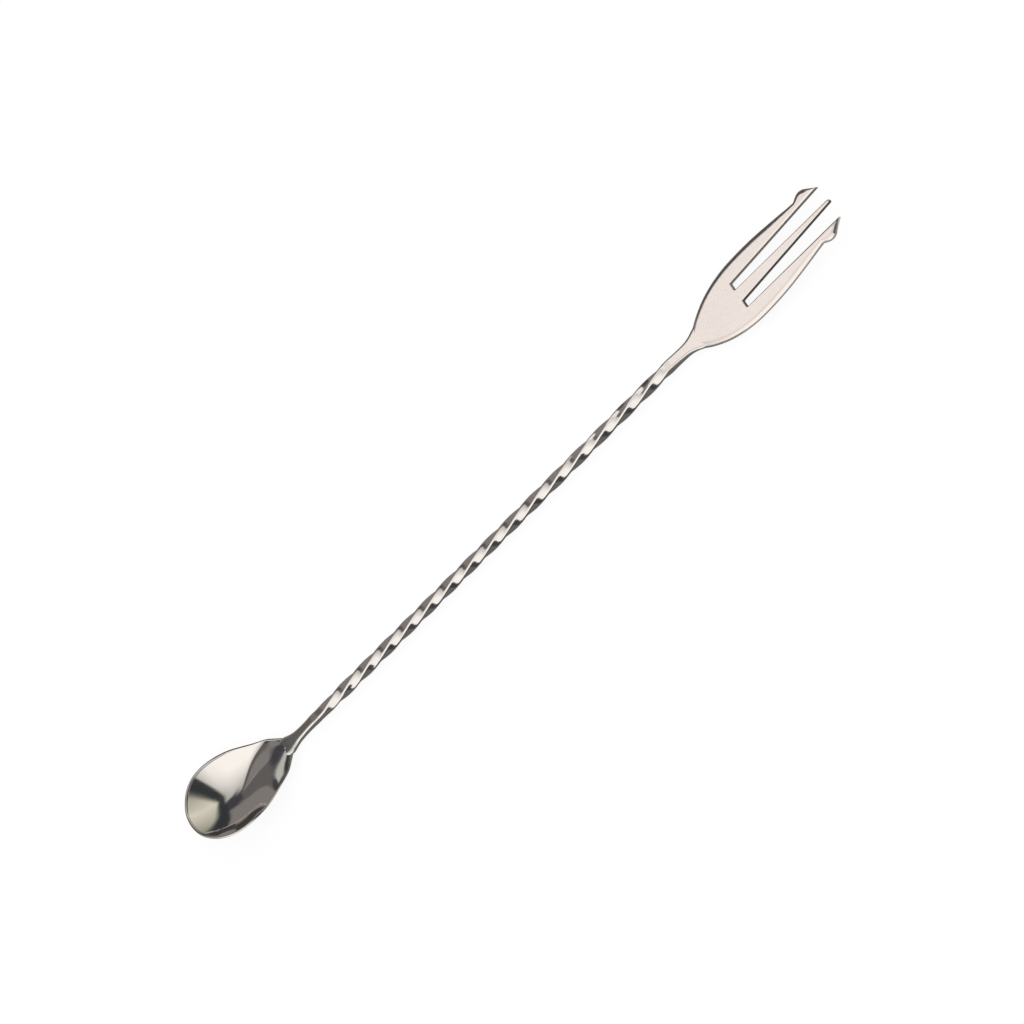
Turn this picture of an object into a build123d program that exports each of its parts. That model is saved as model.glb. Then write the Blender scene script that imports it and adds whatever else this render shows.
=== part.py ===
"""Bar spoon: bowl, twisted square bar and three-tine fork, welded end to end.

The spoon lies on its back: X runs along the shaft from the bowl tip to the
middle tine, Z is up out of the open bowl, and z = 0 is the table it rests on.
"""
import os
from math import cos, radians, sin

from build123d import *

os.makedirs("parts", exist_ok=True)

# overall
overall_length = 300.0
shaft_height = 2.40          # shaft axis above the table

# square bar and its twist
bar_width = 3.70
bar_corner = 0.80
bar_start_width = 3.15       # drawn down where it meets the bowl's neck
bar_start_corner = 0.60
quarter_turns = 16
run_in = 4.0                 # the twist starts gently over this length at the bowl end
quarter_at_bowl = 9.6        # lengths of a quarter turn along the bar
quarter_middle = 10.0
quarter_at_fork = 11.65
middle_from = 0.43           # shares of the twisted length
middle_to = 0.50

# welds: a V groove filled all round and ground flush
groove_depth = 1.10
groove_land = 1.50

# bowl: a teardrop dish square to a sloping plane, cut to the rim's side profile
bowl_widest_inset = 15.5     # from the bowl's end to its widest place
bowl_plane_height = 7.0      # above the shaft axis at the widest place
bowl_plane_slope = 12.1      # degrees, rising toward the tip
bowl_width = 27.5
bowl_tip_reach = 17.80       # from the widest place to the dish's two ends
bowl_neck_reach = 30.4
bowl_depth = 7.93
bowl_sheet = 1.20
rim_width = 1.30
hollow_setback = 5.2         # solid neck ahead of the hollow
hollow_clearance = 3.0       # the rim's cutter runs this far past the dish
tip_fullness = 2.5
side_fullness = 2.3
neck_fullness = 1.5
rim_at_tip = [(-0.904, 7.5), (-0.421, 7.95)]     # share of the reach, height above the axis
rim_at_neck = [(0.0, 6.85), (0.263, 4.95), (0.543, 2.4), (0.822, 0.4)]
neck_overlap = 0.4           # narrowest place of the neck, back from the dish's end
neck_length = 5.0
neck_to_weld = 3.10
neck_drop = 0.60             # the neck is pressed down from above
neck_width = 3.00
neck_thickness = 2.20
neck_end_drop = 0.35
# share of the neck reach back from the narrowest place, width and thickness factors, drop
neck_flare = [(0.066, 1.3, 1.0, 0.60), (0.148, 2.233, 0.8, 0.65), (0.3125, 1.2, 0.4, 0.10)]

# fork
fork_slope = 3.90            # degrees that the plate rises toward the tips
fork_plate = 1.95
fork_length = 65.8           # from the heel to the middle tine's tip
fork_heel_drop = 0.85        # middle of the plate below the shaft axis at the heel
fork_heel_width = 7.30
fork_neck_length = 4.7
fork_neck_to_weld = 7.9
fork_neck_width = 4.10
fork_neck_thickness = 2.70
fork_neck_drop = 0.45
fork_width = 22.7
slot_length = 45.0
slot_inner = 2.25            # half widths of the slots' two edges at the closed end
slot_outer = 5.20
slot_corner = 0.60
middle_tine_tip = 0.50       # half widths at the tips
outer_tine_inside = 6.55
barb_width = 20.7
barb_notch = 17.8            # width where the barbs start
barb_length = 10.9           # from there to the end of the middle tine
edge_round = 0.35
# outline from the heel to the notch: share of that length, share of the widening
shoulder_shape = [
    (0.0546, 0.26),
    (0.1528, 0.604),
    (0.2546, 0.831),
    (0.3728, 0.9675),
    (0.491, 1.0),
    (0.6547, 0.961),
    (0.8184, 0.844),
]

tip_x = overall_length / 2
bowl_widest_x = bowl_widest_inset - tip_x
neck_x = bowl_widest_x + bowl_neck_reach - neck_overlap
neck_end_x = neck_x + neck_length
bowl_weld_x = neck_end_x + neck_to_weld
fork_heel_x = tip_x - fork_length
fork_neck_x = fork_heel_x - fork_neck_length
fork_weld_x = fork_neck_x - fork_neck_to_weld
twist_from = bowl_weld_x + groove_depth
twist_to = fork_weld_x - groove_depth
middle_start = twist_from + middle_from * (twist_to - twist_from)
middle_end = twist_from + middle_to * (twist_to - twist_from)


def station(x, height=0.0, facing=1):
    """Plane across the shaft at x, its local X toward +Y."""
    return Plane(origin=(x, 0, shaft_height + height), x_dir=(0, 1, 0), z_dir=(facing, 0, 0))


def bar_end(face_x, facing, width, corner):
    """Tapered end of a welded bar, from the full section at face_x to a small land."""
    with BuildPart() as end:
        with BuildSketch(station(face_x, facing=facing)):
            RectangleRounded(width, width, corner)
        with BuildSketch(station(face_x + facing * groove_depth, facing=facing)):
            RectangleRounded(groove_land, groove_land, groove_land * corner / width)
        loft(ruled=True)
    return end.part


def weld_ring(butt_x, width, corner):
    """Filler round two tapered ends, flush with the bar."""
    left = bar_end(butt_x - groove_depth, 1, width, corner)
    right = bar_end(butt_x + groove_depth, -1, width, corner)
    with BuildPart() as ring:
        with BuildSketch(station(butt_x - groove_depth)):
            RectangleRounded(width, width, corner)
        extrude(amount=2 * groove_depth)
        add(left, mode=Mode.SUBTRACT)
        add(right, mode=Mode.SUBTRACT)
    return ring.part


# ---------------------------------------------------------------- twisted shaft
def quarter_length(x):
    """Length that a quarter turn would take at the rate the bar has at x."""
    if x < twist_from + run_in:
        return quarter_at_bowl * run_in / max(x - twist_from, 0.02 * run_in)
    if x < middle_start:
        part = (x - twist_from - run_in) / (middle_start - twist_from - run_in)
        return quarter_at_bowl + (quarter_middle - quarter_at_bowl) * part
    if x < middle_end:
        return quarter_middle
    part = (x - middle_end) / (twist_to - middle_end)
    return quarter_middle + (quarter_at_fork - quarter_middle) * part


def twist_stations(turns):
    """Where along the bar each number of quarter turns is reached."""
    steps = 1200
    step = (twist_to - twist_from) / steps
    turned = [0.0]
    for i in range(steps):
        turned.append(turned[-1] + step / quarter_length(twist_from + (i + 0.5) * step))
    scale = quarter_turns / turned[-1]
    stations = []
    i = 0
    for turn in turns:
        while i < steps - 1 and turned[i + 1] * scale < turn:
            i += 1
        part = (turn / scale - turned[i]) / (turned[i + 1] - turned[i])
        stations.append(twist_from + (i + min(part, 1.0)) * step)
    return stations


# the first quarter turn grows from the drawn-down end to the full bar
first_turns = [k / 6 for k in range(7)]
first_stations = twist_stations(first_turns)
with BuildPart() as first_quarter:
    for x, turn in zip(first_stations, first_turns):
        grown = (x - first_stations[0]) / (first_stations[-1] - first_stations[0])
        across = bar_start_width + (bar_width - bar_start_width) * grown
        rounding = bar_start_corner + (bar_corner - bar_start_corner) * grown
        angle = radians(-90 * turn)
        side = (0, cos(angle), sin(angle))
        with BuildSketch(Plane(origin=(x, 0, shaft_height), x_dir=side, z_dir=(1, 0, 0))):
            RectangleRounded(across, across, rounding)
    loft()

quarters = twist_stations([float(k) for k in range(1, quarter_turns + 1)])
segments = []
for from_x, to_x in zip(quarters, quarters[1:]):
    with BuildSketch(station(from_x)) as section:
        RectangleRounded(bar_width, bar_width, bar_corner)
    outline = section.sketch.faces()[0].outer_wire()
    start = (from_x, 0, shaft_height)
    segments.append(Solid.extrude_linear_with_rotation(outline, start, (to_x - from_x, 0, 0), -90))

bowl_side_end = bar_end(twist_from, -1, bar_start_width, bar_start_corner)
fork_side_end = bar_end(twist_to, 1, bar_width, bar_corner)
with BuildPart() as twisted_shaft:
    add(first_quarter.part.solids() + segments + bowl_side_end.solids() + fork_side_end.solids())
twisted_shaft.part.label = "twisted_shaft"
export_step(twisted_shaft.part, "parts/twisted_shaft.step")

# ---------------------------------------------------------------- welds
bowl_weld = weld_ring(bowl_weld_x, bar_start_width, bar_start_corner)
bowl_weld.label = "bowl_weld"
export_step(bowl_weld, "parts/bowl_weld.step")

fork_weld = weld_ring(fork_weld_x, bar_width, bar_corner)
fork_weld.label = "fork_weld"
export_step(fork_weld, "parts/fork_weld.step")

# ---------------------------------------------------------------- bowl
tilt = radians(bowl_plane_slope)
bowl_plane = Plane(
    origin=(bowl_widest_x, 0, shaft_height + bowl_plane_height),
    x_dir=(cos(tilt), 0, -sin(tilt)),
    z_dir=(sin(tilt), 0, cos(tilt)),
)
# the teardrop in fractions of its tip reach, half width and neck reach
tip_shape = [(-1.0, 0.0), (-0.94, 0.36), (-0.8, 0.6), (-0.6, 0.795), (-0.3, 0.95), (0.0, 1.0)]
flank_shape = [(0.28, 0.912), (0.5, 0.765), (0.7, 0.61), (0.8, 0.515), (0.9, 0.32), (1.0, 0.15)]


def dish(depth, tip_reach, half_width, neck_reach):
    """Solid filling of a teardrop dish below the bowl's plane."""
    levels = [0.0, 0.13, 0.3, 0.5, 0.7, 0.86, 0.96, 0.995]
    with BuildPart() as filling:
        for level in levels:
            tip_scale = (1 - level) ** (1 / tip_fullness) * tip_reach
            side_scale = (1 - level) ** (1 / side_fullness) * half_width
            neck_scale = (1 - level) ** (1 / neck_fullness) * neck_reach
            points = [(x * tip_scale, y * side_scale) for x, y in tip_shape]
            points += [(x * neck_scale, y * side_scale) for x, y in flank_shape]
            mirrored = [(x, -y) for x, y in points]
            with BuildSketch(bowl_plane.offset(-depth * level)):
                with BuildLine():
                    Spline(points, tangents=[(0, 1), (1, -0.25)])
                    Spline(mirrored, tangents=[(0, -1), (1, 0.25)])
                    Line(points[-1], mirrored[-1])
                make_face()
        loft()
    return filling.part


outer_dish = dish(bowl_depth + bowl_sheet, bowl_tip_reach, bowl_width / 2, bowl_neck_reach)
inner_dish = dish(
    bowl_depth,
    bowl_tip_reach - rim_width,
    bowl_width / 2 - rim_width,
    bowl_neck_reach - hollow_setback,
)
rim_points = [(bowl_widest_x + x * bowl_tip_reach, shaft_height + z) for x, z in rim_at_tip]
rim_points += [(bowl_widest_x + x * bowl_neck_reach, shaft_height + z) for x, z in rim_at_neck]
rim_end = (bowl_widest_x + bowl_neck_reach + hollow_clearance, rim_points[-1][1])
past_tip = bowl_widest_x - bowl_tip_reach - hollow_clearance
clear_height = shaft_height + 2 * (bowl_plane_height + bowl_depth)
with BuildPart() as above_rim:
    with BuildSketch(Plane(origin=(0, 0, 0), x_dir=(1, 0, 0), z_dir=(0, -1, 0))):
        with BuildLine():
            Spline(rim_points, tangents=[(1, 0), (1, 0)])
            Polyline(
                rim_points[-1],
                rim_end,
                (rim_end[0], clear_height),
                (past_tip, clear_height),
                (past_tip, rim_points[0][1]),
                rim_points[0],
            )
        make_face()
    extrude(amount=bowl_width, both=True)

with BuildPart() as neck:
    with BuildSketch(station(bowl_weld_x - groove_depth, facing=-1)):
        RectangleRounded(bar_start_width, bar_start_width, bar_start_corner)
    with BuildSketch(station(neck_end_x, height=-neck_end_drop, facing=-1)):
        RectangleRounded(neck_width, neck_thickness, 0.2 * neck_thickness)
    with BuildSketch(station(neck_x, height=-neck_drop, facing=-1)):
        RectangleRounded(neck_width, neck_thickness, 0.2 * neck_thickness)
    for back, wider, thinner, drop in neck_flare:
        with BuildSketch(station(neck_x - back * bowl_neck_reach, height=-drop, facing=-1)):
            RectangleRounded(neck_width * wider, neck_thickness * thinner, 0.2 * neck_thickness * thinner)
    loft(ruled=True)
    add(bar_end(bowl_weld_x - groove_depth, 1, bar_start_width, bar_start_corner))

with BuildPart() as spoon_bowl:
    add(outer_dish)
    add(above_rim.part, mode=Mode.SUBTRACT)
    add(inner_dish, mode=Mode.SUBTRACT)
    add(neck.part)
spoon_bowl.part.label = "spoon_bowl"
export_step(spoon_bowl.part, "parts/spoon_bowl.step")

# ---------------------------------------------------------------- fork
rise = radians(fork_slope)
plate_plane = Plane(
    origin=(fork_heel_x, 0, shaft_height - fork_heel_drop),
    x_dir=(cos(rise), 0, sin(rise)),
    z_dir=(-sin(rise), 0, cos(rise)),
)
plate_length = (tip_x - fork_heel_x - fork_plate / 2 * sin(rise)) / cos(rise)
slot_from = fork_length - slot_length
half_heel = fork_heel_width / 2
half_fork = fork_width / 2
notch_x = plate_length - barb_length
shoulder = [(0, half_heel)]
shoulder += [(x * notch_x, half_heel + y * (half_fork - half_heel)) for x, y in shoulder_shape]
shoulder += [(notch_x, barb_notch / 2)]
barb = [
    (notch_x, barb_notch / 2),
    (notch_x + 0.22 * barb_length, 0.98 * barb_width / 2),
    (notch_x + 0.358 * barb_length, barb_width / 2),
    (notch_x + 0.514 * barb_length, 0.957 * barb_width / 2),
]
outer_tip = (plate_length - 0.8, outer_tine_inside)

with BuildPart() as plate:
    with BuildSketch(plate_plane.offset(-fork_plate / 2)):
        with BuildLine():
            Spline(shoulder, tangents=[(1, 0.6), (1, -0.12)])
            Spline(barb, tangents=[(1, 0.35), (1, -0.62)])
            Polyline(barb[-1], outer_tip, (slot_from, slot_outer))
            Line((slot_from, slot_outer), (slot_from, slot_inner))
            Line((slot_from, slot_inner), (plate_length - 0.5, middle_tine_tip))
            ThreePointArc(
                (plate_length - 0.5, middle_tine_tip),
                (plate_length, 0),
                (plate_length - 0.5, -middle_tine_tip),
            )
            Line((plate_length - 0.5, -middle_tine_tip), (slot_from, -slot_inner))
            Line((slot_from, -slot_inner), (slot_from, -slot_outer))
            Polyline(
                (slot_from, -slot_outer), (outer_tip[0], -outer_tip[1]), (barb[-1][0], -barb[-1][1])
            )
            Spline([(x, -y) for x, y in barb], tangents=[(1, -0.35), (1, 0.62)])
            Spline([(x, -y) for x, y in shoulder], tangents=[(1, -0.6), (1, 0.12)])
            Line((0, -half_heel), (0, half_heel))
        make_face()
    extrude(amount=fork_plate)
    slot_corners = plate.edges().filter_by(Axis(plate_plane.origin, plate_plane.z_dir))
    slot_corners = [
        e for e in slot_corners if abs(plate_plane.to_local_coords(e.center()).X - slot_from) < 0.1
    ]
    fillet(slot_corners, slot_corner)
heel_plane = Plane(origin=plate_plane.origin, x_dir=(0, 1, 0), z_dir=plate_plane.x_dir)
with BuildPart() as fork_neck:
    with BuildSketch(station(fork_weld_x + groove_depth)):
        RectangleRounded(bar_width, bar_width, bar_corner)
    with BuildSketch(station(fork_neck_x, height=-fork_neck_drop)):
        RectangleRounded(fork_neck_width, fork_neck_thickness, 0.6)
    with BuildSketch(heel_plane):
        RectangleRounded(fork_heel_width, fork_plate, edge_round)
    loft(ruled=True)
    add(bar_end(fork_weld_x + groove_depth, -1, bar_width, bar_corner))

with BuildPart() as fork_head:
    add(plate.part)
    add(fork_neck.part)
fork_head.part.label = "fork_head"
export_step(fork_head.part, "parts/fork_head.step")
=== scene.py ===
import math

import bmesh
import bpy
from mathutils import Matrix, Vector


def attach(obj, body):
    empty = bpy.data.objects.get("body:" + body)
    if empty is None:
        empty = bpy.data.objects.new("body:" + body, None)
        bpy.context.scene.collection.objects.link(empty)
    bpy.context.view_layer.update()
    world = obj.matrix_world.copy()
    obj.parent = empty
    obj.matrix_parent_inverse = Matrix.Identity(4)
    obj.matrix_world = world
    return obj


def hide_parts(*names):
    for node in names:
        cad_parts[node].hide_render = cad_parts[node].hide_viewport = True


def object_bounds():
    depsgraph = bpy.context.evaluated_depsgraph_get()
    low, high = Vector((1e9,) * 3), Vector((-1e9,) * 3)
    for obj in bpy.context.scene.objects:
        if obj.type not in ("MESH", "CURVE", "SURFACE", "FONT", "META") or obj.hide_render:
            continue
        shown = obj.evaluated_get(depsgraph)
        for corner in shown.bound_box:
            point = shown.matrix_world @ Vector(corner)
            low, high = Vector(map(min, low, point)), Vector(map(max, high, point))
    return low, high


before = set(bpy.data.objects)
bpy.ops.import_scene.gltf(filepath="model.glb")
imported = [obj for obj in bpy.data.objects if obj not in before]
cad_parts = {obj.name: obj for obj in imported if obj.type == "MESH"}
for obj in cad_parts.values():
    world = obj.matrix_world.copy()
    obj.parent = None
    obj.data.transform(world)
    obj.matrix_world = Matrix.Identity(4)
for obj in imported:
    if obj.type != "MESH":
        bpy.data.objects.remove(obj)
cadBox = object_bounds()
scene = bpy.context.scene
millimetre = 0.001
joining = {"gap": 1e-4, "sharpFrom": 40}  # millimetres, degrees
print("frame loaded:", sorted(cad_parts))


def smoothLine(points, perSpan, before=None):
    # rounded path through the points, with ghost points for the end tangents
    first = before or tuple(2 * a - b for a, b in zip(points[0], points[1]))
    last = tuple(2 * a - b for a, b in zip(points[-1], points[-2]))
    spine = [Vector(p).to_3d() for p in [first, *points, last]]
    path = []
    for a, b, c, d in zip(spine, spine[1:], spine[2:], spine[3:]):
        ab = max((b - a).length, 1e-6) ** 0.5
        bc = max((c - b).length, 1e-6) ** 0.5
        cd = max((d - c).length, 1e-6) ** 0.5
        leave = (b - a) / ab - (c - a) / (ab + bc) + (c - b) / bc
        arrive = (c - b) / bc - (d - b) / (bc + cd) + (d - c) / cd
        for step in range(perSpan):
            t = step / perSpan
            path.append(
                b * (2 * t**3 - 3 * t**2 + 1)
                + leave * bc * (t**3 - 2 * t**2 + t)
                + c * (3 * t**2 - 2 * t**3)
                + arrive * bc * (t**3 - t**2)
            )
    path.append(spine[-2])
    return path


def between(table, x):
    # values at x of a table of (x, value...) rows, on a smooth curve through them
    def slope(i, column):
        low, high = table[max(i - 1, 0)], table[min(i + 1, len(table) - 1)]
        return (high[column] - low[column]) / (high[0] - low[0])

    i = 0
    while i < len(table) - 2 and x > table[i + 1][0]:
        i += 1
    low, high = table[i], table[i + 1]
    span = high[0] - low[0]
    t = (x - low[0]) / span
    return tuple(
        low[c] * (2 * t**3 - 3 * t**2 + 1)
        + slope(i, c) * span * (t**3 - 2 * t**2 + t)
        + high[c] * (3 * t**2 - 2 * t**3)
        + slope(i + 1, c) * span * (t**3 - t**2)
        for c in range(1, len(low))
    )


def startSection(bm, corner):
    # unit square with rounded corners, facing along X
    made = bmesh.ops.create_grid(bm, x_segments=1, y_segments=1, size=0.5)
    bmesh.ops.bevel(
        bm, geom=made["verts"], offset=corner, offset_type="OFFSET", segments=5,
        profile=0.5, affect="VERTICES", material=-1,
    )
    flats = [e for e in bm.edges if e.calc_length() > 0.3]
    bmesh.ops.subdivide_edges(bm, edges=flats, cuts=3)
    bm.faces.ensure_lookup_table()
    upright = Matrix(((0, 0, 1, 0), (1, 0, 0, 0), (0, 1, 0, 0), (0, 0, 0, 1)))
    bmesh.ops.transform(bm, matrix=upright, verts=bm.verts)
    return bm.faces[0]


def placing(x, width, height, lift, turn=0.0):
    size = Matrix.Diagonal((1, width, height, 1))
    spot = Matrix.Translation((x, 0, lift))
    return spot @ Matrix.Rotation(math.radians(turn), 4, "X") @ size


def pullSection(bm, cap, placings):
    # pulls the section from placing to placing, with caps left at the two ends only
    bmesh.ops.transform(bm, matrix=placings[0], verts=cap.verts)
    closed = cap
    for here, there in zip(placings, placings[1:]):
        pulled = bmesh.ops.extrude_face_region(bm, geom=[cap])["geom"]
        if cap.is_valid and cap != closed:
            bm.faces.remove(cap)
        cap = [g for g in pulled if isinstance(g, bmesh.types.BMFace)][0]
        bmesh.ops.transform(bm, matrix=there @ here.inverted(), verts=cap.verts)


def finishPiece(parts, name, node, material):
    # joins the closed shells of one piece and sets it in the frame, in metres
    whole = bmesh.new()
    for bm in parts:
        bmesh.ops.remove_doubles(bm, verts=bm.verts, dist=joining["gap"])
        bmesh.ops.recalc_face_normals(bm, faces=bm.faces)
        shell = bpy.data.meshes.new(name + "Shell")
        bm.to_mesh(shell)
        bm.free()
        whole.from_mesh(shell)
        bpy.data.meshes.remove(shell)
    bmesh.ops.scale(whole, vec=Vector((millimetre,) * 3), verts=whole.verts)
    mesh = bpy.data.meshes.new(name)
    whole.to_mesh(mesh)
    whole.free()
    mesh.shade_smooth()
    mesh.set_sharp_from_angle(angle=math.radians(joining["sharpFrom"]))
    mesh.materials.append(material)
    piece = bpy.data.objects.new(name, mesh)
    scene.collection.objects.link(piece)
    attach(piece, "root")
    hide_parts(node)
    print("piece ready:", name, len(mesh.polygons), "faces")
    return piece


# finish shared by every piece: faint wipe marks and slow changes of polish
finish = {"marksFrom": 0.3, "marksTo": 0.7, "markHeight": 0.00002}


def makePolishGroup():
    group = bpy.data.node_groups.new("polishMarks", "ShaderNodeTree")
    for name, way, kind in (
        ("Mark Scale", "INPUT", "Float"), ("Cloud Scale", "INPUT", "Float"),
        ("Stretch", "INPUT", "Vector"), ("Marks", "OUTPUT", "Float"), ("Clouds", "OUTPUT", "Float"),
    ):
        group.interface.new_socket(name=name, in_out=way, socket_type="NodeSocket" + kind)
    nodes, links = group.nodes, group.links
    given = nodes.new("NodeGroupInput")
    result = nodes.new("NodeGroupOutput")
    coordinates = nodes.new("ShaderNodeTexCoord")
    stretched = nodes.new("ShaderNodeVectorMath")
    stretched.operation = "MULTIPLY"
    links.new(coordinates.outputs["Object"], stretched.inputs[0])
    links.new(given.outputs["Stretch"], stretched.inputs[1])
    marks = nodes.new("ShaderNodeTexNoise")
    marks.inputs["Detail"].default_value = 4
    marks.inputs["Roughness"].default_value = 0.65
    links.new(stretched.outputs[0], marks.inputs["Vector"])
    links.new(given.outputs["Mark Scale"], marks.inputs["Scale"])
    clouds = nodes.new("ShaderNodeTexNoise")
    clouds.inputs["Detail"].default_value = 2
    links.new(coordinates.outputs["Object"], clouds.inputs["Vector"])
    links.new(given.outputs["Cloud Scale"], clouds.inputs["Scale"])
    links.new(marks.outputs["Fac"], result.inputs["Marks"])
    links.new(clouds.outputs["Fac"], result.inputs["Clouds"])
    return group


polishGroup = makePolishGroup()


def makeSteel(name, look):
    material = bpy.data.materials.new(name)
    material.use_nodes = True
    nodes, links = material.node_tree.nodes, material.node_tree.links
    shader = nodes["Principled BSDF"]
    shader.inputs["Metallic"].default_value = 1.0
    marks = nodes.new("ShaderNodeGroup")
    marks.node_tree = polishGroup
    marks.inputs["Mark Scale"].default_value = look["markScale"]
    marks.inputs["Cloud Scale"].default_value = look["cloudScale"]
    marks.inputs["Stretch"].default_value = look["stretch"]
    tone = nodes.new("ShaderNodeMix")
    tone.data_type = "RGBA"
    tone.inputs["A"].default_value = (*look["deep"], 1)
    tone.inputs["B"].default_value = (*look["light"], 1)
    links.new(marks.outputs["Clouds"], tone.inputs["Factor"])
    links.new(tone.outputs["Result"], shader.inputs["Base Color"])
    rough = nodes.new("ShaderNodeMapRange")
    rough.inputs["From Min"].default_value = finish["marksFrom"]
    rough.inputs["From Max"].default_value = finish["marksTo"]
    rough.inputs["To Min"].default_value = look["roughness"][0]
    rough.inputs["To Max"].default_value = look["roughness"][1]
    links.new(marks.outputs["Marks"], rough.inputs["Value"])
    links.new(rough.outputs["Result"], shader.inputs["Roughness"])
    bump = nodes.new("ShaderNodeBump")
    bump.inputs["Strength"].default_value = look["bump"]
    bump.inputs["Distance"].default_value = finish["markHeight"]
    links.new(marks.outputs["Marks"], bump.inputs["Height"])
    links.new(bump.outputs["Normal"], shader.inputs["Normal"])
    return material


bowlSteel = makeSteel(
    "bowlPolishedSteel",
    {
        "deep": (0.80, 0.79, 0.77), "light": (0.88, 0.87, 0.85), "roughness": (0.06, 0.13),
        "markScale": 900, "cloudScale": 60, "stretch": (1, 1, 1), "bump": 0.15,
    },
)
shaftSteel = makeSteel(
    "shaftPolishedSteel",
    {
        "deep": (0.78, 0.77, 0.76), "light": (0.87, 0.86, 0.85), "roughness": (0.10, 0.20),
        "markScale": 1400, "cloudScale": 90, "stretch": (0.3, 1, 1), "bump": 0.2,
    },
)
forkSteel = makeSteel(
    "forkSatinSteel",
    {
        "deep": (0.84, 0.80, 0.78), "light": (0.91, 0.87, 0.85), "roughness": (0.16, 0.28),
        "markScale": 1100, "cloudScale": 70, "stretch": (1, 1, 1), "bump": 0.35,
    },
)
weldSteel = makeSteel(
    "groundWeldSteel",
    {
        "deep": (0.74, 0.73, 0.71), "light": (0.84, 0.83, 0.81), "roughness": (0.18, 0.30),
        "markScale": 1600, "cloudScale": 200, "stretch": (3, 1, 1), "bump": 0.3,
    },
)
print("materials ready")

# twisted bar, in millimetres
shaft = {
    "axisHeight": 2.40, "width": 3.70, "startWidth": 3.15, "corner": 0.216,
    "from": -95.3, "to": 70.5, "quarterTurns": 16, "runIn": 4.0,
    "quarterAtBowl": 9.6, "quarterMiddle": 10.0, "quarterAtFork": 11.65,
    "middleFrom": 0.43, "middleTo": 0.50, "steps": 400, "taper": 1.1, "land": 1.5,
    "slowest": 0.02,  # share of the run-in where the twist has started
}


def buildShaft():
    length = shaft["to"] - shaft["from"]
    # places along the bar, and the length of a quarter turn there
    rates = [
        (0.0, shaft["quarterAtBowl"]),
        (shaft["middleFrom"] * length, shaft["quarterMiddle"]),
        (shaft["middleTo"] * length, shaft["quarterMiddle"]),
        (length, shaft["quarterAtFork"]),
    ]
    turned = [0.0]
    step = length / shaft["steps"]
    for i in range(shaft["steps"]):
        at = (i + 0.5) * step
        for low, high in zip(rates, rates[1:]):
            if low[0] <= at <= high[0]:
                quarter = low[1] + (high[1] - low[1]) * (at - low[0]) / (high[0] - low[0])
        if at < shaft["runIn"]:
            quarter *= shaft["runIn"] / max(at, shaft["slowest"] * shaft["runIn"])
        turned.append(turned[-1] + step / quarter)
    scale = shaft["quarterTurns"] / turned[-1]
    height = shaft["axisHeight"]
    start, end = shaft["startWidth"], shaft["width"]
    placings = [placing(shaft["from"] - shaft["taper"], shaft["land"], shaft["land"], height)]
    for i, quarters in enumerate(turned):
        quarters *= scale
        width = start + (end - start) * min(1.0, quarters)
        placings.append(placing(shaft["from"] + i * step, width, width, height, -90 * quarters))
    placings.append(
        placing(shaft["to"] + shaft["taper"], shaft["land"], shaft["land"], height, -90 * quarters)
    )
    bm = bmesh.new()
    pullSection(bm, startSection(bm, shaft["corner"]), placings)
    return bm


finishPiece([buildShaft()], "twistedBar", "twisted_shaft", shaftSteel)

# bowl: a teardrop dish under a sloping plane, with a rounded rim
bowl = {
    "widest": (-134.5, 9.4), "slope": 12.1, "halfWidth": 13.75, "tipReach": 17.8,
    "neckReach": 30.4, "hollow": 7.0, "depth": 9.13, "rim": 0.8, "setback": 2.2,
    "tipFullness": 2.5, "sideFullness": 2.3, "neckFullness": 1.5, "rimRound": 0.35,
    "around": 13, "down": 34, "over": 8, "rowGather": 2.3, "runOut": (-132.0, -115.0),
    "runLean": 1.4, "crown": 0.7, "crownPower": 3, "rimFade": 0.8, "leastHalf": 0.5,
    # shares of the reach and of the half width, tip first
    "shape": [
        (-1.0, 0.0), (-0.94, 0.36), (-0.8, 0.6), (-0.6, 0.795), (-0.3, 0.95), (0.0, 1.0),
        (0.28, 0.955), (0.5, 0.835), (0.7, 0.675), (0.8, 0.575), (0.9, 0.38), (1.0, 0.12),
        (1.0, 0.0),
    ],
    "tipTangent": (-0.94, -0.36),
    # x and height of the rim above the table
    "rimProfile": [
        (-150.6, 9.9), (-142.0, 10.35), (-134.5, 9.25), (-126.5, 7.2), (-118.0, 4.9),
        (-109.5, 3.65), (-105.0, 3.25), (-100.0, 3.0),
    ],
}
# bowl's neck: x, width, height, middle of the section above the table
bowlNeck = {
    "corner": 0.2,
    "sections": [
        (-115.0, 2.6, 0.6, 3.00), (-112.0, 5.0, 1.5, 2.74), (-110.4, 6.2, 1.8, 2.50),
        (-109.0, 6.1, 1.95, 2.35), (-107.6, 5.1, 2.1, 2.22), (-106.3, 4.25, 2.2, 2.15),
        (-104.9, 3.6, 2.4, 2.13), (-103.3, 3.3, 2.5, 2.16), (-101.5, 3.1, 2.65, 2.23),
        (-99.5, 3.05, 2.85, 2.32), (-97.5, 3.15, 3.15, 2.40),
    ],
    "land": 1.5, "taper": 1.1, "steps": 48,
}


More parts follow.
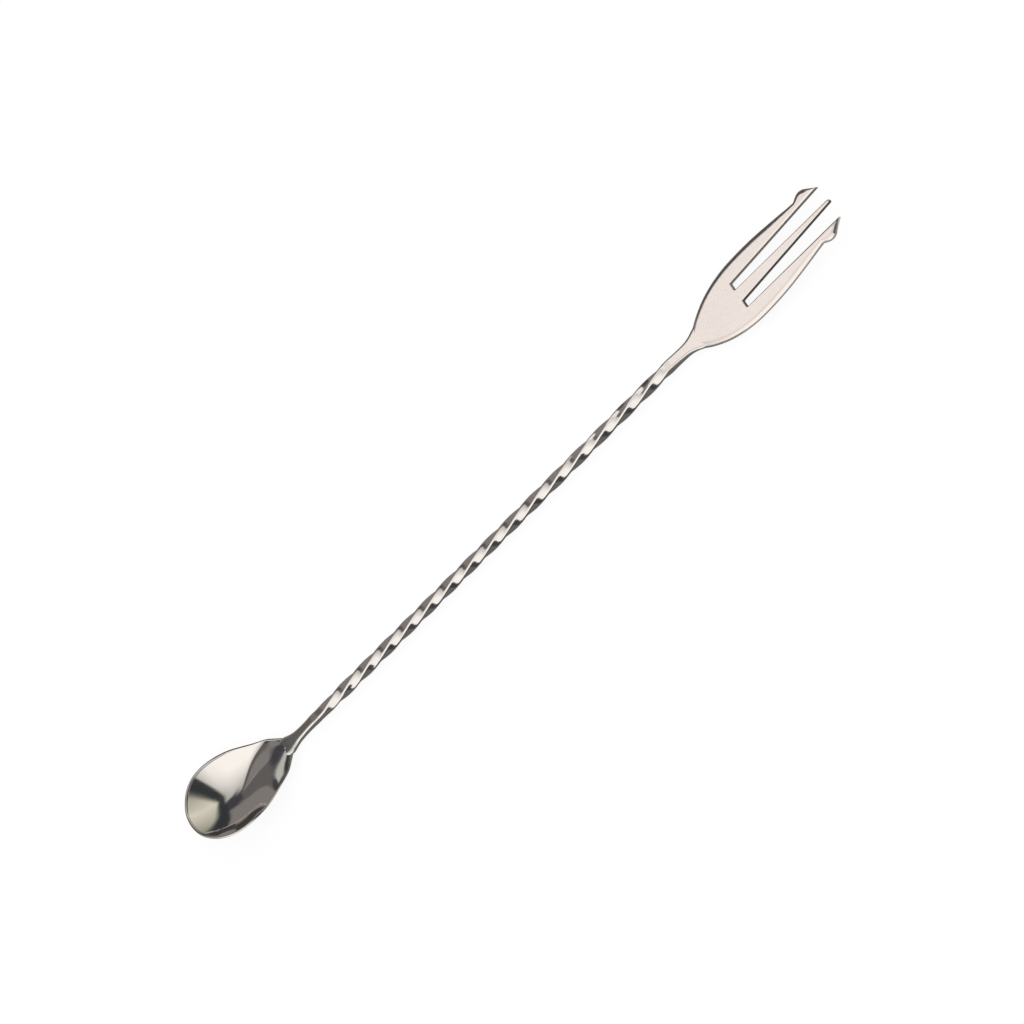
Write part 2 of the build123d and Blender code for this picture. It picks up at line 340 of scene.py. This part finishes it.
def buildBowl():
    rimLine = smoothLine(bowl["rimProfile"], 12)
    half = smoothLine(bowl["shape"], bowl["around"], bowl["tipTangent"])
    outline = half[:-1] + [Vector((p.x, -p.y, 0)) for p in reversed(half[1:])]
    slope = math.radians(bowl["slope"])
    along = Vector((math.cos(slope), 0, -math.sin(slope)))
    up = Vector((math.sin(slope), 0, math.cos(slope)))
    middle = Vector((bowl["widest"][0], 0, bowl["widest"][1]))

    def rimHeight(x):
        for a, b in zip(rimLine, rimLine[1:]):
            if x <= b.x:
                return a.y + (b.y - a.y) * max(0.0, (x - a.x) / (b.x - a.x))
        return rimLine[-1].y

    def runOut(x):
        # 0 where the hollow is whole, 1 where it has ended
        start, end = bowl["runOut"]
        t = min(1.0, max(0.0, (x - start) / (end - start)))
        return t * t * (3 - 2 * t)

    def lipHeight(x):
        return rimHeight(x) - bowl["crown"] * runOut(x) - bowl["rimRound"]

    def dishPoint(p, level, outside):
        # level 0 is in the dish's plane and level 1 at its deepest point
        shrink = 0.0 if outside else bowl["rim"]
        back = 0.0 if outside else bowl["setback"]
        depth = bowl["depth"] if outside else bowl["hollow"]
        left = max(0.0, 1 - level)
        reach = bowl["tipReach"] - shrink if p.x < 0 else bowl["neckReach"] - back
        fullness = bowl["tipFullness"] if p.x < 0 else bowl["neckFullness"]
        x = p.x * left ** (1 / fullness) * reach
        y = p.y * left ** (1 / bowl["sideFullness"]) * (bowl["halfWidth"] - shrink)
        return middle + along * x + Vector((0, y, 0)) - up * depth * level

    def rimLevel(p, outside):
        low, high = 0.0, 0.999
        for _ in range(30):
            level = (low + high) / 2
            spot = dishPoint(p, level, outside)
            if spot.z > lipHeight(spot.x):
                low = level
            else:
                high = level
        return low

    tops = [(rimLevel(p, False), rimLevel(p, True)) for p in outline]
    # the lip keeps one width all round, so the hollow's edge follows the outer edge
    lips = []
    for p, (innerTop, outerTop) in zip(outline, tops):
        inner = dishPoint(p, innerTop, False)
        outer = dishPoint(p, outerTop, True)
        edge = outer + (inner - outer).normalized() * bowl["rim"]
        edge.z = lipHeight(edge.x)
        lips.append((edge, outer, edge - inner))
    innerRim = sorted((edge.x, abs(edge.y)) for edge, _, _ in lips)

    def eased(spot):
        # the hollow rises to a crowned flat where it meets the neck
        share = runOut(spot.x - bowl["runLean"] * max(0.0, spot.y))
        half = bowl["leastHalf"]
        for (x0, y0), (x1, y1) in zip(innerRim, innerRim[1:]):
            if x0 <= spot.x <= x1:
                half = max(half, y0 + (y1 - y0) * (spot.x - x0) / max(1e-6, x1 - x0))
                break
        across = min(1.0, abs(spot.y) / half)
        crown = bowl["crown"] * runOut(spot.x) * across ** bowl["crownPower"]
        goal = rimHeight(spot.x) - crown - bowl["rimRound"]
        return Vector((spot.x, spot.y, spot.z + (goal - spot.z) * share))

    rows = 2 * bowl["down"] + bowl["over"]
    bm = bmesh.new()
    bmesh.ops.create_grid(bm, x_segments=len(outline), y_segments=rows, size=0.5)
    for vert in bm.verts:
        k = round((vert.co.x + 0.5) * len(outline)) % len(outline)
        row = round((vert.co.y + 0.5) * rows)
        p, (innerTop, outerTop), (edge, outer, shift) = outline[k], tops[k], lips[k]
        if row <= bowl["down"] or row >= rows - bowl["down"]:
            outside = row > bowl["down"]
            t = (rows - row if outside else row) / bowl["down"]
            top = outerTop if outside else innerTop
            spot = dishPoint(p, 1 - (1 - top) * t ** bowl["rowGather"], outside)
            vert.co = spot if outside else eased(spot + shift * t * t)
        else:
            a = math.pi * (row - bowl["down"]) / bowl["over"]
            spot = (edge + outer) / 2 + (edge - outer) / 2 * math.cos(a)
            rise = bowl["rimRound"] * math.sin(a) * (1 - bowl["rimFade"] * runOut(spot.x))
            vert.co = spot + Vector((0, 0, rise))
    return bm


def buildBowlNeck():
    rows = bowlNeck["sections"]
    first, last = rows[0][0], rows[-1][0]
    placings = []
    for i in range(bowlNeck["steps"] + 1):
        x = first + (last - first) * i / bowlNeck["steps"]
        placings.append(placing(x, *between(rows, x)))
    land = bowlNeck["land"]
    placings.append(placing(last + bowlNeck["taper"], land, land, rows[-1][3]))
    bm = bmesh.new()
    pullSection(bm, startSection(bm, bowlNeck["corner"]), placings)
    return bm


bowlPiece = finishPiece(
    [buildBowl(), buildBowlNeck()], "bowlAndNeck", "spoon_bowl", bowlSteel
)
# the hollow mirrors the studio only, not its own far wall
bowlPiece.visible_glossy = False

# fork: a flat plate cut to three tines, rising toward the tips
fork = {
    "heel": (84.2, 1.55), "slope": 3.9, "thickness": 1.95, "length": 65.887,
    "heelStart": (-2.2, 1.9), "heelHalf": 3.65, "half": 11.35, "notchHalf": 8.9,
    "barbHalf": 10.35, "barbLength": 10.9, "outerTip": (65.087, 6.55),
    "slotFrom": 20.8, "slotInner": 2.25, "slotOuter": 5.2, "slotCorner": 0.6, "cornerCut": 0.18,
    "middleTip": 0.5,
    # shares of the length and of the widening, then of the barb's length and half width
    "shoulder": [
        (0.0546, 0.26), (0.1528, 0.604), (0.2546, 0.831), (0.3728, 0.9675), (0.491, 1.0),
        (0.6547, 0.961), (0.8184, 0.844),
    ],
    "barb": [(0.22, 0.98), (0.358, 1.0), (0.514, 0.957)],
    "tip": [(0.5, 1.0), (0.14, 0.7)],  # back from the middle tine's end, share of its half width
    "round": 0.32, "roundMiddle": 0.3, "topRound": 1.3, "topSpread": 1.6, "topSteps": 6,
    # shares of the top rounding, and its most as a share of the way to the opposite edge
    "slotRound": 0.5, "slotEndRound": 0.25, "mostRound": 0.4, "mostSpread": 0.45, "miter": 1.4,
}
# fork's neck: x, width, height, middle of the section above the table
forkNeck = {
    "corner": 0.216,
    "sections": [
        (72.7, 3.7, 3.7, 2.4), (76.0, 3.75, 3.2, 2.2), (79.5, 4.1, 2.7, 1.95),
        (82.2, 5.5, 2.25, 1.70), (84.2, 7.3, 2.0, 1.56), (86.5, 8.6, 1.75, 1.70),
        (89.0, 9.0, 1.2, 1.88),
    ],
    "land": 1.5, "taper": 1.1, "steps": 32,
}


def buildForkPlate():
    notch = fork["length"] - fork["barbLength"]
    shoulder = [fork["heelStart"], (0.0, fork["heelHalf"])]
    for x, widening in fork["shoulder"]:
        wider = widening * (fork["half"] - fork["heelHalf"])
        shoulder.append((x * notch, fork["heelHalf"] + wider))
    shoulder.append((notch, fork["notchHalf"]))
    barb = [(notch, fork["notchHalf"])]
    barb += [(notch + x * fork["barbLength"], y * fork["barbHalf"]) for x, y in fork["barb"]]
    side = smoothLine(shoulder, 7)[:-1] + smoothLine(barb, 5)
    closed = fork["slotFrom"]
    corner = fork["slotCorner"]
    cut = fork["cornerCut"] * corner
    wide, narrow = fork["slotOuter"], fork["slotInner"]
    slot = [
        fork["outerTip"],
        (closed + corner, wide), (closed + cut, wide - cut), (closed, wide - corner),
        (closed, narrow + corner), (closed + cut, narrow + cut), (closed + corner, narrow),
    ]
    slot += [(fork["length"] - back, y * fork["middleTip"]) for back, y in fork["tip"]]
    side += [Vector((*spot, 0)) for spot in slot]
    outline = side + [Vector((fork["length"], 0, 0))]
    outline += [Vector((p.x, -p.y, 0)) for p in reversed(side)]
    count = len(outline)
    inward, room = [], []
    for k, p in enumerate(outline):
        before = (p - outline[k - 1]).normalized()
        after = (outline[(k + 1) % count] - p).normalized()
        inner = Vector((before.y + after.y, -before.x - after.x, 0)).normalized()
        stretch = 1 / max(0.3, inner.dot(Vector((after.y, -after.x, 0))))
        inward.append(inner * min(fork["miter"], stretch))
        # as far as the opposite edge, so that narrow tips get a smaller rounding
        reach = 100.0
        for m in range(count):
            a, b = outline[m], outline[(m + 1) % count]
            chord = b - a
            cross = inner.x * chord.y - inner.y * chord.x
            if m in (k, (k - 1) % count) or abs(cross) < 1e-9:
                continue
            gap = a - p
            t = (gap.x * chord.y - gap.y * chord.x) / cross
            share = (gap.x * inner.y - gap.y * inner.x) / cross
            if t > 1e-3 and 0 <= share <= 1:
                reach = min(reach, t)
        room.append(reach)
    # the outer contour's rounding spreads farther in than it goes down
    rounds, spreads = [], []
    for p, reach in zip(outline, room):
        inSlot = p.x > closed - 0.1 and abs(p.y) < fork["slotOuter"] + 0.1
        atEnd = inSlot and p.x < closed + 2 * corner
        share = fork["slotEndRound"] if atEnd else fork["slotRound"] if inSlot else 1.0
        radius = min(fork["topRound"] * share, fork["mostRound"] * reach)
        spread = min(fork["topSpread"] * radius, fork["mostSpread"] * reach)
        rounds.append(radius)
        spreads.append(radius if inSlot else spread)
    middle = fork["roundMiddle"] * fork["round"]
    bm = bmesh.new()
    rings = []
    for inset, height in ((fork["round"], 0.0), (middle, middle), (0.0, fork["round"])):
        ring = []
        for p, n, r in zip(outline, inward, rounds):
            i = inset * r / fork["topRound"]
            ring.append(bm.verts.new(p + n * i + Vector((0, 0, height))))
        rings.append(ring)
    for step in range(fork["topSteps"] + 1):
        a = math.pi / 2 * step / fork["topSteps"]
        ring = []
        for p, n, r, spread in zip(outline, inward, rounds, spreads):
            height = fork["thickness"] - r * (1 - math.sin(a))
            ring.append(bm.verts.new(p + n * spread * (1 - math.cos(a)) + Vector((0, 0, height))))
        rings.append(ring)
    for low, high in zip(rings, rings[1:]):
        for k in range(count):
            m = (k + 1) % count
            bm.faces.new((low[k], low[m], high[m], high[k]))
    bm.faces.new(rings[0])
    bm.faces.new(rings[-1])
    lie = Matrix.Translation((fork["heel"][0], 0, fork["heel"][1]))
    lie = lie @ Matrix.Rotation(-math.radians(fork["slope"]), 4, "Y")
    lie = lie @ Matrix.Translation((0, 0, -fork["thickness"] / 2))
    bmesh.ops.transform(bm, matrix=lie, verts=bm.verts)
    return bm


def buildForkNeck():
    rows = forkNeck["sections"]
    first, last = rows[0][0], rows[-1][0]
    land = forkNeck["land"]
    placings = [placing(first - forkNeck["taper"], land, land, rows[0][3])]
    for i in range(forkNeck["steps"] + 1):
        x = first + (last - first) * i / forkNeck["steps"]
        placings.append(placing(x, *between(rows, x)))
    bm = bmesh.new()
    pullSection(bm, startSection(bm, forkNeck["corner"]), placings)
    return bm


forkPiece = finishPiece(
    [buildForkPlate(), buildForkNeck()], "forkAndNeck", "fork_head", forkSteel
)
evenNormals = forkPiece.modifiers.new("evenNormals", "WEIGHTED_NORMAL")
evenNormals.keep_sharp = True
evenNormals.weight = 80

for node in ("bowl_weld", "fork_weld"):
    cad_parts[node].data.materials.clear()
    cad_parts[node].data.materials.append(weldSteel)
print("welds dressed")

# pale floor and world, with glowing cards and a dome round the object that only its reflections
# show: painted reflections, highlights and shade
studio = {
    "floorSize": 6.0, "floorTone": (0.86, 0.86, 0.86), "floorRoughness": 0.8, "floorGlow": 1.03,
    "floorDrop": 0.0003, "cardDrop": 0.0002, "shadowShare": 0.12, "domeRadius": 20.0,
    # dome of painted reflections, seen only in the metal: colours, their places across and up, how
    # they fall off and where they blend
    "bright": (1.0, 0.95, 0.90), "brightAt": (-0.32, -0.65), "brightSpread": (0.6, 1.0),
    "brightTop": 1.60, "brightFall": 1.13, "brightMost": 1.13, "brightLeast": 0.55,
    "dim": (0.128, 0.122, 0.118), "grey": (0.240, 0.218, 0.210),
    "dimTo": 0.42, "dimBlend": 0.1, "greyFrom": 0.17, "greyBlend": 0.08,
    "wedge": (0.056, 0.054, 0.066), "wedgeAt": (0.05, 0.32), "wedgeSize": (0.17, 0.11),
    "wedgeEdge": (1.3, 0.7),
    "band": (0.037, 0.041, 0.043), "bandAt": (0.155, 0.05), "bandCurve": (0.165, -0.045),
    "bandHalf": (0.055, 0.08), "bandEdge": (-0.02, 0.03),
    "warm": (1.0, 0.94, 0.79), "warmTop": 0.77, "warmFall": 0.60, "warmLeast": 0.15,
    "warmLap": 0.03, "warmEdge": (0.28, 0.07),
}


def lying(left, right, near, far, lift=0.0001):
    # corners of a level card
    return ((left, near, lift), (right, near, lift), (right, far, lift), (left, far, lift))


# cards of painted reflection, highlight and shade: corners in turn, colour, how far off they still
# show
anywhere = 9  # metres, more than the way to any card
cards = {
    # painted shade in the floor's reflection, darker on the near side than on the far side
    "nearFloorPaintedReflection": (lying(-0.6, 0.6, -0.5, 0, 0), (0.150, 0.145, 0.139), anywhere),
    "farFloorPaintedReflection": (lying(-0.6, 0.6, 0, 0.5, 0), (0.235, 0.215, 0.207), anywhere),
    # painted dark reflection, a strip across the floor under the bowl
    "darkStrip": (
        (
            (-0.1412, -0.004, 0.0001), (-0.1372, -0.004, 0.0001),
            (0.05, 0.5, 0.0001), (-0.11, 0.5, 0.0001),
        ),
        (0.050, 0.045, 0.042), anywhere,
    ),
    # painted shade on the floor along the near side
    "lowShade": (lying(-0.095, 0.070, -0.05, -0.011), (0.060, 0.057, 0.054), anywhere),
    # painted dark reflection, a standing card along the near side
    "lowWallPaintedReflection": (
        ((-0.095, -0.05, 0), (0.070, -0.05, 0), (0.070, -0.05, 0.019), (-0.095, -0.05, 0.019)),
        (0.050, 0.047, 0.044), anywhere,
    ),
    # painted reflection of the floor beside the fork's near side
    "forkNear": (lying(0.06, 0.17, -0.06, -0.0095), (0.30, 0.29, 0.28), anywhere),
    # painted shadow under the fork, seen in its walls
    "forkUnderPaintedShadow": (lying(0.10, 0.17, -0.0095, 0.0005), (0.070, 0.067, 0.063), anywhere),
    # painted reflection of the floor beyond the fork
    "forkBeyond": (lying(0.10, 0.17, 0.0005, 0.02), (0.170, 0.165, 0.158), anywhere),
    # painted highlight on the barb, a small bright card
    "barbPaintedHighlight": (lying(0.1463, 0.153, -0.0125, -0.009, 0.0002), (0.90, 0.86, 0.82), anywhere),
    # painted highlight over the fork, a bright tilted card that only nearby metal shows
    "forkPaintedHighlight": (
        (
            (0.014, 0.079, 0.080), (0.126, 0.079, 0.105),
            (0.138, 0.017, 0.145), (0.018, 0.017, 0.120),
        ),
        (1.0, 0.945, 0.90), 0.19,
    ),
    # painted dark reflection, a standing card beyond the fork that only nearby metal shows
    "forkFlagPaintedReflection": (
        ((0.030, 0.085, 0.0), (0.170, 0.085, 0.0), (0.140, 0.085, 0.079), (0.030, 0.085, 0.079)),
        (0.070, 0.067, 0.064), 0.15,
    ),
}


def glow(name, colour):
    material = bpy.data.materials.new(name)
    material.use_nodes = True
    nodes = material.node_tree.nodes
    nodes.remove(nodes["Principled BSDF"])
    shine = nodes.new("ShaderNodeEmission")
    shine.inputs["Color"].default_value = (*colour, 1)
    material.node_tree.links.new(shine.outputs[0], nodes["Material Output"].inputs["Surface"])
    return material, shine


def stageMesh(name, bm, material):
    mesh = bpy.data.meshes.new(name)
    bm.to_mesh(mesh)
    bm.free()
    mesh.materials.append(material)
    thing = bpy.data.objects.new(name, mesh)
    scene.collection.objects.link(thing)
    return thing


def onlyReflected(thing):
    thing.visible_camera = False
    thing.visible_diffuse = False
    thing.visible_shadow = False


def makeFloor():
    # white to the camera and in the metal, but for a share that takes the shadow
    material = bpy.data.materials.new("paleFloor")
    material.use_nodes = True
    nodes, links = material.node_tree.nodes, material.node_tree.links
    paint = nodes["Principled BSDF"]
    paint.inputs["Base Color"].default_value = (*studio["floorTone"], 1)
    paint.inputs["Roughness"].default_value = studio["floorRoughness"]
    bright = nodes.new("ShaderNodeEmission")
    bright.inputs["Strength"].default_value = studio["floorGlow"]
    seen = nodes.new("ShaderNodeLightPath")
    either = nodes.new("ShaderNodeMath")
    either.operation = "MAXIMUM"
    share = nodes.new("ShaderNodeMath")
    share.operation = "MULTIPLY"
    share.inputs[1].default_value = 1 - studio["shadowShare"]
    choice = nodes.new("ShaderNodeMixShader")
    links.new(seen.outputs["Is Camera Ray"], either.inputs[0])
    links.new(seen.outputs["Is Glossy Ray"], either.inputs[1])
    links.new(either.outputs[0], share.inputs[0])
    links.new(share.outputs[0], choice.inputs["Fac"])
    links.new(paint.outputs["BSDF"], choice.inputs[1])
    links.new(bright.outputs["Emission"], choice.inputs[2])
    links.new(choice.outputs["Shader"], nodes["Material Output"].inputs["Surface"])
    bm = bmesh.new()
    bmesh.ops.create_grid(bm, x_segments=1, y_segments=1, size=studio["floorSize"] / 2)
    stageMesh("floor", bm, material).location = (0, 0, cadBox[0][2] - studio["floorDrop"])


def makeCards():
    # each card glows its colour as a painted reflection, highlight or shade, and turns clear beyond
    # its reach
    for name, (corners, colour, reach) in cards.items():
        material, shine = glow(name, colour)
        nodes, links = material.node_tree.nodes, material.node_tree.links
        path = nodes.new("ShaderNodeLightPath")
        distant = nodes.new("ShaderNodeMath")
        distant.operation = "GREATER_THAN"
        distant.inputs[1].default_value = reach
        links.new(path.outputs["Ray Length"], distant.inputs[0])
        choice = nodes.new("ShaderNodeMixShader")
        clear = nodes.new("ShaderNodeBsdfTransparent")
        links.new(distant.outputs[0], choice.inputs["Fac"])
        links.new(shine.outputs[0], choice.inputs[1])
        links.new(clear.outputs[0], choice.inputs[2])
        links.new(choice.outputs[0], nodes["Material Output"].inputs["Surface"])
        bm = bmesh.new()
        bm.faces.new([bm.verts.new(corner) for corner in corners])
        lift = cadBox[0][2] - studio["cardDrop"]
        bmesh.ops.translate(bm, vec=(0, 0, lift), verts=bm.verts)
        onlyReflected(stageMesh(name, bm, material))


# a glowing dome that only the metal shows, painted as its reflection of the surroundings
def makeDome():
    material, shine = glow("paintedReflectionDome", (1, 1, 1))
    nodes, links = material.node_tree.nodes, material.node_tree.links

    def maths(operation, first, second):
        node = nodes.new("ShaderNodeMath")
        node.operation = operation
        for socket, value in zip(node.inputs, (first, second)):
            if isinstance(value, (int, float)):
                socket.default_value = value
            else:
                links.new(value, socket)
        return node.outputs[0]

    def ramp(value, start, end):
        node = nodes.new("ShaderNodeMapRange")
        node.interpolation_type = "SMOOTHSTEP"
        node.inputs["From Min"].default_value = start
        node.inputs["From Max"].default_value = end
        links.new(value, node.inputs["Value"])
        return node.outputs["Result"]

    def paint(under, over, mask):
        node = nodes.new("ShaderNodeMix")
        node.data_type = "RGBA"
        for socket, value in zip((node.inputs["A"], node.inputs["B"]), (under, over)):
            if isinstance(value, tuple):
                socket.default_value = (*value, 1)
            else:
                links.new(value, socket)
        links.new(mask, node.inputs["Factor"])
        return node.outputs["Result"]

    def scaled(colour, level):
        node = nodes.new("ShaderNodeVectorMath")
        node.operation = "SCALE"
        node.inputs[0].default_value = colour
        links.new(level, node.inputs["Scale"])
        return node.outputs[0]

    def away(spot, size):
        parts = [
            maths("DIVIDE", maths("SUBTRACT", value, at), by)
            for value, at, by in zip((across, up), spot, size)
        ]
        squares = [maths("MULTIPLY", part, part) for part in parts]
        return maths("SQRT", maths("ADD", *squares), 0)

    # across and up: angles from straight overhead, as shares of a right angle
    place = nodes.new("ShaderNodeTexCoord")
    unit = nodes.new("ShaderNodeVectorMath")
    unit.operation = "NORMALIZE"
    links.new(place.outputs["Object"], unit.inputs[0])
    axes = nodes.new("ShaderNodeSeparateXYZ")
    links.new(unit.outputs[0], axes.inputs[0])
    squares = [maths("MULTIPLY", axes.outputs[name], axes.outputs[name]) for name in "XY"]
    flat = maths("SQRT", maths("ADD", *squares), 0)
    angle = maths("MULTIPLY", maths("ARCTAN2", flat, axes.outputs["Z"]), 2 / math.pi)
    spread = maths("DIVIDE", angle, maths("MAXIMUM", flat, 0.0001))
    across = maths("MULTIPLY", axes.outputs["X"], spread)
    up = maths("MULTIPLY", axes.outputs["Y"], spread)

    # painted reflection: a bright side that fades, then grey and dim toward the far side
    fromBright = away(studio["brightAt"], studio["brightSpread"])
    fall = maths("MULTIPLY", fromBright, -studio["brightFall"])
    level = maths("MINIMUM", maths("ADD", fall, studio["brightTop"]), studio["brightMost"])
    bright = scaled(studio["bright"], maths("MAXIMUM", level, studio["brightLeast"]))
    dimEnd = studio["dimTo"] + studio["dimBlend"]
    grey = paint(studio["dim"], studio["grey"], ramp(up, studio["dimTo"], dimEnd))
    greyEnd = studio["greyFrom"] + studio["greyBlend"]
    colour = paint(bright, grey, ramp(up, studio["greyFrom"], greyEnd))
    wedgeMask = ramp(away(studio["wedgeAt"], studio["wedgeSize"]), *studio["wedgeEdge"])
    colour = paint(colour, studio["wedge"], wedgeMask)
    # painted reflection: a dark curved band, with a painted warm light beyond it
    middle, waist = studio["bandAt"]
    along = maths("SUBTRACT", up, waist)
    bend = maths("ABSOLUTE", along, 0)
    bow = maths("MULTIPLY", bend, studio["bandCurve"][0])
    curve = maths("ADD", bow, maths("MULTIPLY", along, studio["bandCurve"][1]))
    fromBand = maths("SUBTRACT", maths("SUBTRACT", across, curve), middle)
    half = maths("ADD", maths("MULTIPLY", bend, studio["bandHalf"][1]), studio["bandHalf"][0])
    leftOf = maths("ADD", fromBand, half)
    rightOf = maths("SUBTRACT", fromBand, half)
    colour = paint(colour, studio["band"], ramp(leftOf, *studio["bandEdge"]))
    level = maths("MULTIPLY", maths("ABSOLUTE", up, 0), -studio["warmFall"])
    level = maths("MAXIMUM", maths("ADD", level, studio["warmTop"]), studio["warmLeast"])
    warm = scaled(studio["warm"], level)
    edge = maths("ADD", maths("MULTIPLY", bend, studio["warmEdge"][0]), studio["warmEdge"][1])
    beyond = maths("DIVIDE", maths("ADD", rightOf, studio["warmLap"]), edge)
    colour = paint(colour, warm, ramp(beyond, 0.0, 1.0))
    links.new(colour, shine.inputs["Color"])
    bm = bmesh.new()
    bmesh.ops.create_uvsphere(bm, u_segments=48, v_segments=24, radius=studio["domeRadius"])
    bmesh.ops.reverse_faces(bm, faces=bm.faces)
    onlyReflected(stageMesh("paintedReflectionDome", bm, material))


def makeWorld():
    world = bpy.data.worlds.new("studio")
    scene.world = world
    world.use_nodes = True
    world.node_tree.nodes["Background"].inputs["Color"].default_value = (1, 1, 1, 1)
    world.node_tree.nodes["Background"].inputs["Strength"].default_value = 1.0


makeFloor()
makeCards()
makeDome()
makeWorld()
print("studio ready:", len(cards), "cards")

# flat view from above the near side; along and over lie in the view, along the spoon
# and across it, and the picture's edges are at 45 degrees to them
camera = {
    "along": (0.96, 0.1226, -0.2518), "over": (0, 0.8992, 0.4376), "width": 0.3305, "roll": 0.15,
    "aim": (-0.0023, 0.0013), "distance": 1.5, "farEnd": 30,
}


def makeCamera():
    data = bpy.data.cameras.new("camera")
    eye = bpy.data.objects.new("camera", data)
    scene.collection.objects.link(eye)
    scene.camera = eye
    along, over = Vector(camera["along"]), Vector(camera["over"])
    toCamera = along.cross(over).normalized()
    right = (along - over).normalized()
    up = toCamera.cross(right).normalized()
    data.type = "ORTHO"
    data.ortho_scale = camera["width"]
    data.clip_end = camera["farEnd"]
    roll = Matrix.Rotation(math.radians(camera["roll"]), 3, "Z")
    turn = Matrix((right, up, toCamera)).transposed() @ roll
    axis = Vector((0, 0, shaft["axisHeight"] * millimetre))
    aim = axis + right * camera["aim"][0] + up * camera["aim"][1]
    eye.matrix_world = Matrix.Translation(aim + toCamera * camera["distance"]) @ turn.to_4x4()


makeCamera()
scene.view_settings.view_transform = "Standard"
